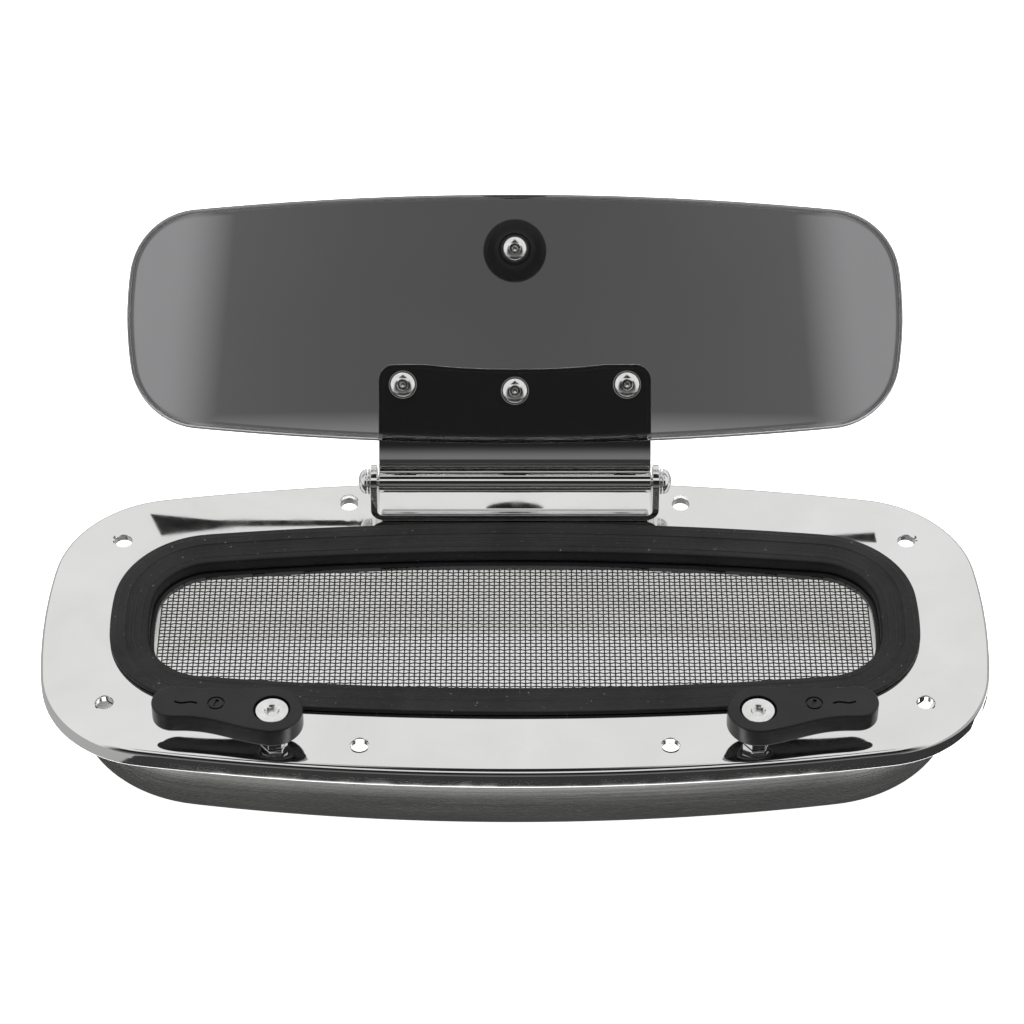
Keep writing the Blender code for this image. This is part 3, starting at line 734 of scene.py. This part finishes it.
def screw_holes(radius):
    """The tools for the holes of the three hinge screws."""
    return merged([drill(radius, x, y) for x, y in HINGE_SCREWS.values()])


def hinge_leaf():
    """The sheet on the lens's back, which rises in a gentle S and rolls round the pin."""
    middle = (LEAF_LOW + LEAF_TOP) / 2
    roll = 2.0 + LEAF_SHEET / 2
    slope = math.radians(27)
    onto = Vector((-math.sin(slope), math.cos(slope))) * roll
    run = Vector((math.cos(slope), math.sin(slope))) * 5.0
    path = [(-38.5, middle), (-14.5, middle)]
    path += curve([(-13.5, middle), (-8.5, middle), onto - run, onto], 32)
    path += arc((0.0, 0.0), roll, math.pi / 2 + slope, math.radians(-160), 52)[1:]
    along_x = Matrix.Rotation(math.pi / 2, 4, "Z") @ Matrix.Rotation(math.pi / 2, 4, "X")
    reach = KNUCKLE_HALF + 3
    obj = linked("leaf", moved(prism(thicken(path, LEAF_SHEET), -reach, reach), along_x))
    cut(obj, prism(leaf_plan(0.0), -8, 8), "INTERSECT")
    cut(obj, screw_holes(2.2))
    piece("hinge_leaf", taken(obj), IN_LENS, "lens", "polished_steel", bevels=(0.25, 3, 60))


def hinge_pad():
    """The rubber pad between the leaf and the glass."""
    inset, end, sheet = 1.2, -13.0, 0.7
    half = KNUCKLE_HALF - inset
    plan = [(x, y) for x, y in leaf_plan(inset) if y < 0] + [(half, end), (-half, end)]
    pad = prism(plan, PAD_LOW, PAD_LOW + sheet)
    piece("hinge_pad", pad, IN_LENS, "lens", "black_rubber", bevels=(0.15, 2), cuts=[screw_holes(2.4)])


# ---------------------------------------------------------------- lens


def lens_glass():
    """The toughened lens, with polished bevels and a hole for each screw."""
    bevelled, hole = 1.2, 3.5
    flat = bevelled + 1.5
    edge = [
        (bevelled, GLASS_FACE), (0.0, GLASS_FACE + bevelled),
        (0.0, GLASS_BACK - bevelled), (bevelled, GLASS_BACK),
    ]
    profile = [(flat, GLASS_FACE)] + rounded(edge, 0.4, closed=True) + [(flat, GLASS_BACK)]
    holes = [drill(hole, 0.0, KNOB_Y), screw_holes(hole)]
    piece("lens_glass", loft(around(LENS, profile, LENS_Y)), IN_LENS, "lens", "smoked_glass",
          cuts=[merged(holes)], crease=60)


def lens_bushes():
    """A sleeve in each hole of the glass keeps its screw off the edge of the hole."""
    low, high = GLASS_FACE + 0.1, GLASS_BACK - 0.1
    places = {f"hinge_{name}": place for name, place in HINGE_SCREWS.items()}
    places["knob"] = (0.0, KNOB_Y)
    for name, (x, y) in places.items():
        bush = sleeve(2.2, 3.2, low, high, x=x, y=y)
        piece(f"lens_bush_{name}", bush, IN_LENS, "lens", "black_nylon")


def socket(mouth, depth, across, x=0.0, y=0.0, turn=0.2):
    """The tools for a hexagonal driver recess: the hexagon, its chamfered mouth and its drilled foot.

    The recess goes from the mouth's height by depth, which is negative for one that opens upwards.
    """
    radius = across / 2 / math.cos(math.pi / 6)
    inwards = math.copysign(1.0, depth)
    sides = sorted((mouth - inwards, mouth + depth))
    hexagon = moved(prism(circle(radius, 6, turn), *sides), Matrix.Translation((x, y, 0.0)))
    chamfer = [(radius + 1.0, mouth - inwards * 0.8), (radius - 0.25, mouth + inwards * 0.45)]
    drilled = [(across * 0.36, mouth + depth - inwards * 0.1), (0.05, mouth + depth + inwards * 0.8)]
    return [hexagon, turned(chamfer, x=x, y=y, steps=40), turned(drilled, x=x, y=y, steps=40)]


def pan_screw(name, head_radius, head_height, under, tip, x, y, turn):
    """A pan-head screw that points up with its head below, and its driver recess."""
    low, side, shank = under - head_height, under - 0.35, 2.0
    crown = [(0.05, low), (head_radius * 0.5, low), (head_radius * 0.95, low + 0.5), (head_radius, side)]
    profile = curve(crown, 14)
    profile += rounded([(head_radius, side), (head_radius, under), (shank, under)], 0.15, 3)[1:]
    profile += [(shank, tip - 0.4), (shank - 0.4, tip)]
    recess = socket(low, head_height * 0.55, 3.0, x, y, turn)
    piece(name, turned(profile, x=x, y=y), IN_LENS, "lens", "fastener_steel", cuts=recess, crease=40)


def hinge_screws():
    """The three screws through glass, pad and leaf, each with its cap nut on the leaf."""
    seat = LEAF_TOP + GAP
    bore, radius = 2.15, 3.5
    draw = random.Random(4)
    for name, (x, y) in HINGE_SCREWS.items():
        pan_screw(f"hinge_screw_{name}", 4.3, 2.6, GLASS_FACE - GAP, seat + 2.6, x, y, draw.uniform(0, 1))
        profile = [(r, seat + z) for r, z in curve([(0.05, 4.4), (1.6, 4.4), (2.7, 3.5), (3.3, 2.3)], 12)]
        profile += [(radius, seat + 2.1), (radius, seat + 0.2), (radius - 0.2, seat)]
        profile += [(bore, seat), (bore, seat + 3.0)]
        nut = turned(profile, x=x, y=y)
        piece(f"hinge_nut_{name}", nut, IN_LENS, "lens", "fastener_steel", crease=40)


def knob_set():
    """The mushroom knob on the lens's back, its screw, and the washer under the screw's head."""
    foot, bore = GLASS_BACK + GAP, 2.15
    crown = [(0.05, 18.0), (5.0, 17.9), (8.2, 17.2), (9.6, 16.4), (10.0, 15.2), (9.7, 13.8)]
    stem = [(8.4, 12.6), (6.4, 11.4), (5.3, 10.0), (4.9, 8.0)]
    stem += [(4.85, 5.0), (5.1, 2.0), (5.4, 0.7), (5.2, 0.0)]
    inside = [(bore, 0.0), (bore, 8.0)]
    profile = [(r, foot + z) for r, z in crown + stem + inside]
    knob = turned(rounded(profile, 1.2, keep=(len(profile) - 2,)), y=KNOB_Y, steps=72)
    piece("knob", knob, IN_LENS, "lens", "black_plastic", crease=50)
    high = GLASS_FACE - GAP
    low = high - 0.7
    washer = sleeve(bore, 4.3, low, high, y=KNOB_Y)
    piece("knob_washer", washer, IN_LENS, "lens", "black_rubber")
    pan_screw("knob_screw", 4.0, 2.4, low - GAP, foot + 7.6, 0.0, KNOB_Y, 0.5)


# ---------------------------------------------------------------- latches


# Bore of the post and the bush, foot of the bush, and foot of the screw's cone.
LATCH_BORE = 2.65
BUSH_LOW = POST_TOP + GAP
CONE_LOW = HANDLE_TOP - 3.8


def latch_post(name, at):
    """A blind-bored hexagonal post on the flange."""
    across_flats, bore_foot = 7.0, 1.4
    corner = across_flats / 2 / math.cos(math.pi / 6)
    post = prism(circle(corner, 6, math.radians(10)), GAP, POST_TOP)
    hole = prism(circle(LATCH_BORE), bore_foot, POST_TOP + 1)
    piece(f"latch_post_{name}", post, at, "frame", "polished_steel", bevels=(0.35, 3), cuts=[hole])


def latch_pivot(name, at):
    """The steel bush that the handle turns on, and the nylon washer between the post and the handle."""
    bush = sleeve(LATCH_BORE, 3.9, BUSH_LOW, CONE_LOW - GAP)
    piece(f"latch_bush_{name}", bush, at, "frame", "fastener_steel")
    bore, radius, high = 4.2, 5.6, HANDLE_LOW - GAP
    profile = [(bore, BUSH_LOW), (5.1, BUSH_LOW), (radius, high - 0.4), (radius, high), (bore, high)]
    washer = turned(rounded(profile, 0.15, 3, closed=True), True)
    piece(f"latch_washer_{name}", washer, at, "frame", "black_nylon")


def latch_screw(name, at, turn):
    """A countersunk socket screw, its head a little below the handle's face."""
    top = HANDLE_TOP - 0.5
    head, shank = 4.9, 2.5
    profile = [(0.05, top), (head - 0.2, top), (head, top - 0.2), (head, CONE_LOW + 2.4)]
    profile += [(shank, CONE_LOW), (shank, 2.2), (shank - 0.4, 1.8)]
    screw = turned(rounded(profile, 0.12, 3))
    recess = socket(top, -1.6, 3.5, turn=turn)
    piece(f"latch_screw_{name}", screw, at, "frame", "fastener_steel", cuts=recess, crease=40)


def handle_outline(side):
    """The handle from above: a round hub and an arm set towards the hinge side, pointing along side."""
    points = arc((0, 0), 9.0, math.radians(-108), math.radians(88), 40)[:-1]
    points += curve([(0.3, 9.0), (-9.0, 8.8), (-16.0, 8.0), (-27.0, 9.3)], 20)[:-1]
    points += arc((-29.0, 3.3), 6.2, math.radians(75), math.radians(270), 28)
    points += curve([(-27.0, -2.9), (-17.0, -2.9), (-13.0, -6.2), (-2.8, -8.6)], 22)[1:-1]
    return [(-side * x, y) for x, y in points]


def handle_marks(side):
    """Generic engravings: a round mark with a slot, and a short wavy line nearer the tip."""
    low, high = HANDLE_TOP - 0.6, HANDLE_TOP + 1.0
    mark = Vector((side * 16.3, 2.4, 0.0))
    inner, outer = 2.05, 2.6
    ring = turned([(inner, low), (outer, low), (outer, high), (inner, high)], True, 32, mark.x, mark.y)
    half_x, half_y = 0.5, 1.45
    slot = prism([(-half_x, -half_y), (half_x, -half_y), (half_x, half_y), (-half_x, half_y)], low, high)
    slot = moved(slot, Matrix.Translation(mark) @ Matrix.Rotation(math.radians(-14), 4, "Z"))
    wave = curve([(side * x, y) for x, y in ((21.8, 2.2), (24.2, 3.9), (25.8, 1.3), (28.4, 3.1))], 14)
    return [ring, slot, prism(thicken(wave, 0.75), low, high)]


def latch_handle(name, at, side):
    """The moulded handle, with a well for its screw and a conical seat at the well's foot."""
    bore, well_radius, edge = 4.2, 5.4, 0.2
    sink_top = CONE_LOW + 2.5
    sink_low = sink_top - (well_radius - bore)
    well = [(bore, HANDLE_LOW - 1), (bore, sink_low), (well_radius, sink_top)]
    well += arc((well_radius + edge, HANDLE_TOP - edge), edge, math.pi, math.pi / 2, 4)
    well.append((well_radius + edge, HANDLE_TOP + 1))
    handle = prism(handle_outline(side), HANDLE_LOW, HANDLE_TOP)
    piece(f"latch_handle_{name}", handle, at, f"latch_{name}", "black_plastic",
          bevels=(0.6, 4), cuts=[turned(well), *handle_marks(side)], crease=38)


def latch(name, side, recess_turn):
    """A hexagonal post with its bush, washer and countersunk screw, and the handle that turns on them."""
    pivot = Vector(JOINTS[f"latch_turn_{name}"]["pos_m"]) - CENTRE
    at = IN_FRAME @ Matrix.Translation(pivot.xy.to_3d() / MM)
    latch_post(name, at)
    latch_pivot(name, at)
    latch_screw(name, at, recess_turn)
    latch_handle(name, at, side)


# ---------------------------------------------------------------- studio


# Strength of the room's white walls, and of the dark room towards the camera.
WHITE = 0.82
DARK = 0.018


class Field:
    """Sums and steps of shader values, for the light of the world and of the cards."""

    def __init__(self, tree):
        self.tree = tree

    def node(self, kind):
        return self.tree.nodes.new(kind)

    def feed(self, value, socket):
        """Set a socket to a number, or link another socket to it."""
        if isinstance(value, (int, float)):
            socket.default_value = value
        else:
            self.tree.links.new(value, socket)

    def math(self, operation, *values):
        node = self.node("ShaderNodeMath")
        node.operation = operation
        for value, socket in zip(values, node.inputs):
            self.feed(value, socket)
        return node.outputs[0]

    def step(self, value, start, end, low=0.0, high=1.0):
        """A smooth step from low to high while the value goes from start to end."""
        node = self.node("ShaderNodeMapRange")
        node.interpolation_type = "SMOOTHSTEP"
        for socket, number in (("From Min", start), ("From Max", end), ("To Min", low), ("To Max", high)):
            node.inputs[socket].default_value = number
        self.feed(value, node.inputs["Value"])
        return node.outputs["Result"]

    def turn_step(self, value, start, end, low=0.0, high=1.0):
        """A smooth step over an angle, from start to end in degrees."""
        return self.step(value, math.radians(start), math.radians(end), low, high)

    def parts(self, kind):
        """X, Y and Z of a texture coordinate."""
        node = self.node("ShaderNodeSeparateXYZ")
        self.feed(self.node("ShaderNodeTexCoord").outputs[kind], node.inputs[0])
        return node.outputs


def world():
    """White walls round a room that is dark towards the camera, with a strip light high in the dark part.

    The room is dark overhead too, and it glows a little at the horizon.
    """
    made = bpy.data.worlds.new("studio")
    bpy.context.scene.world = made
    made.use_nodes = True
    field = Field(made.node_tree)
    x, y, z = field.parts("Generated")
    side = field.math("ABSOLUTE", field.math("ARCTAN2", x, field.math("MULTIPLY", y, -1.0)))
    height = field.math("ARCSINE", z)
    walls = field.turn_step(side, 36, 54)
    walls = field.math("MULTIPLY", walls, field.turn_step(height, 82, 87, 1.0, 0.0))
    strip = field.turn_step(height, 47, 50)
    strip = field.math("MULTIPLY", strip, field.turn_step(height, 63, 66, 1.0, 0.0))
    horizon = field.turn_step(height, 2, 28, 0.20, 0.0)
    lit = field.math("MAXIMUM", field.math("MAXIMUM", walls, strip), horizon)
    background = made.node_tree.nodes["Background"]
    background.inputs["Color"].default_value = (1.0, 1.0, 1.0, 1.0)
    field.feed(field.math("MULTIPLY_ADD", lit, WHITE - DARK, DARK), background.inputs["Strength"])


def floor():
    """A plain pale floor that glows a little, so that its shadows stay faint."""
    half_size, below, glow = 4.0, 0.0005, 0.80
    shape = bmesh.new()
    bmesh.ops.create_grid(shape, x_segments=1, y_segments=1, size=half_size)
    obj = linked("floor", shape)
    obj.location.z = -below
    s = Surface("floor", (0.93, 0.93, 0.93), 0.9)
    s.set("Specular IOR Level", 0.0)
    s.set("Emission Color", (1.0, 1.0, 1.0, 1.0))
    s.set("Emission Strength", glow)
    obj.data.materials.append(s.material)


def card(name, corners, height, seen_by, level):
    """A glowing card that only some kinds of ray see; level makes its glow from its X and Y in metres."""
    shape = bmesh.new()
    shape.faces.new([shape.verts.new((x, y, height)) for x, y in corners])
    obj = linked(name, shape)
    made = bpy.data.materials.new(name)
    made.use_nodes = True
    made.node_tree.nodes.clear()
    field = Field(made.node_tree)
    x, y = field.parts("Object")[:2]
    glow = field.node("ShaderNodeEmission")
    field.feed(level(field, x, y), glow.inputs["Strength"])
    field.feed(glow.outputs[0], field.node("ShaderNodeOutputMaterial").inputs["Surface"])
    obj.data.materials.append(made)
    for kind in ("camera", "diffuse", "glossy", "transmission", "shadow"):
        setattr(obj, f"visible_{kind}", kind in seen_by)
    return obj


def even(level):
    """The same glow all over a card."""
    return lambda field, x, y: level


def front_level(field, x, y):
    """Dark, but for a grey band along the spigot that only its wall mirrors, brighter further out."""
    bow, corner_start, corner_bow = 0.735, 0.095, 11.0
    dark, least, most = 0.04, 0.09, 3.8
    aside = field.math("ABSOLUTE", x)
    bowed = field.math("MULTIPLY", field.math("POWER", aside, 2.0), bow)
    corner = field.math("MAXIMUM", field.math("SUBTRACT", aside, corner_start), 0.0)
    corner = field.math("MULTIPLY", field.math("POWER", corner, 2.0), corner_bow)
    along = field.math("SUBTRACT", field.math("SUBTRACT", y, bowed), corner)
    near = field.step(along, -0.1178, -0.1155)
    rising = field.step(along, -0.088, -0.112, least, most)
    return field.math("MULTIPLY_ADD", near, field.math("SUBTRACT", rising, dark), dark)


def behind_level(field, x, y):
    """Painted shadow seen through the lens: dark in the middle, white at its ends and near the flange."""
    middle, growth = 0.28, 9.0
    aside = field.math("ABSOLUTE", x)
    ends = field.step(aside, 0.086, 0.121)
    near = field.step(y, 0.092, 0.125, 1.0, 0.0)
    slow = field.math("MULTIPLY", field.math("POWER", aside, 2.0), growth)
    return field.math("MAXIMUM", field.math("ADD", slow, middle), field.math("MAXIMUM", ends, near))


def mirrored_level(field, x, y):
    """Grey for the lens's own face close by, and dark for the steel that mirrors the lens from afar."""
    close_by, afar = 0.22, 0.02
    length = field.node("ShaderNodeLightPath").outputs["Ray Length"]
    return field.step(length, 0.001, 0.003, close_by, afar)


def floor_cards():
    """Cards low over the floor: what the steel mirrors, what lies behind the gauze and behind the lens."""
    front = [(-0.150, 0.0), (-0.150, -0.075), (-0.130, -0.110), (-1.5, -3.9), (1.7, -3.9)]
    front += [(0.175, -0.04), (0.175, 0.0)]
    card("front_card", front, 0.0008, ("glossy",), front_level)
    round_it = [(-3.0, -4.0), (3.0, -4.0), (3.0, 3.0), (-3.0, 3.0)]
    card("surround_card", round_it, 0.0006, ("glossy",), even(0.42))
    opening = [(CENTRE.x + x * MM, CENTRE.y + y * MM) for x, y in SEAL.inset(10.4).outline()]
    card("opening_card", opening, 0.0020, ("camera", "transmission"), even(0.76))
    card("opening_glow", opening, 0.0017, ("glossy",), even(1.2))
    # lens_shade is painted shadow: a card seen only through the glass, dark where the lens's own shadow on
    # the floor would be.
    behind = [(-0.16, 0.06), (0.16, 0.06), (0.16, 0.32), (-0.16, 0.32)]
    card("lens_shade", behind, 0.0020, ("transmission",), behind_level)


def lens_card():
    """A card right in front of the open lens, which is all that its face mirrors."""
    edge, clearance = 1.5, 0.05
    outline = [(x * MM, (y + LENS_Y) * MM) for x, y in LENS.inset(edge).outline()]
    mirrored = card("lens_mirrored", outline, (GLASS_FACE - clearance) * MM, ("glossy",), mirrored_level)
    mirrored.matrix_world = IN_LENS @ Matrix.Scale(1 / MM, 4)


def flags():
    """Two dark upright flags behind the flange, which its face mirrors as a wedge and a short mark."""
    behind = Vector((0.0, 0.075, 0.0))
    upright = Matrix.Translation(CENTRE + behind) @ Matrix.Rotation(math.pi / 2, 4, "X")
    wedge = [(-0.118, 0.0257), (-0.097, 0.0285), (0.040, 0.0287)]
    wedge += [(0.040, 0.0300), (-0.090, 0.0314), (-0.115, 0.0354)]
    mark = [(0.100, 0.0355), (0.117, 0.0340), (0.118, 0.0385), (0.106, 0.0375)]
    for name, outline in (("long_flag", wedge), ("short_flag", mark)):
        flag = card(name, outline, 0.0, ("glossy",), even(0.015))
        flag.matrix_world = upright


def overhead_light():
    """A soft round lamp over the object, which the steel doesn't mirror."""
    data = bpy.data.lights.new("overhead", "AREA")
    data.shape = "DISK"
    data.size = 1.6
    data.energy = 30.0
    obj = bpy.data.objects.new("overhead", data)
    bpy.context.scene.collection.objects.link(obj)
    obj.location = (0.0, 0.25, 1.6)
    aim = Vector((0.0, 0.0, 0.05))
    obj.rotation_euler = (aim - obj.location).to_track_quat("-Z", "Y").to_euler()
    obj.visible_glossy = False


def camera():
    """The camera looks down on the object from straight in front."""
    pitch = math.radians(42.5)
    data = bpy.data.cameras.new("camera")
    data.lens = 123.05
    data.sensor_width = 36.0
    obj = bpy.data.objects.new("camera", data)
    bpy.context.scene.collection.objects.link(obj)
    obj.location = (-0.0009, -0.7846, 0.7779)
    obj.rotation_euler = (math.pi / 2 - pitch, 0.0, 0.0)
    bpy.context.scene.camera = obj


# ---------------------------------------------------------------- making


flange()
spigot_body()
main_seal()
screen_frame()
screen_mesh()
hinge_bracket()
hinge_pin_set()
hinge_leaf()
hinge_pad()
lens_glass()
lens_bushes()
hinge_screws()
knob_set()
latch("left", -1, 0.3)
latch("right", 1, 0.75)

world()
floor()
floor_cards()
lens_card()
flags()
overhead_light()
camera()
bpy.context.scene.view_settings.view_transform = "Standard"
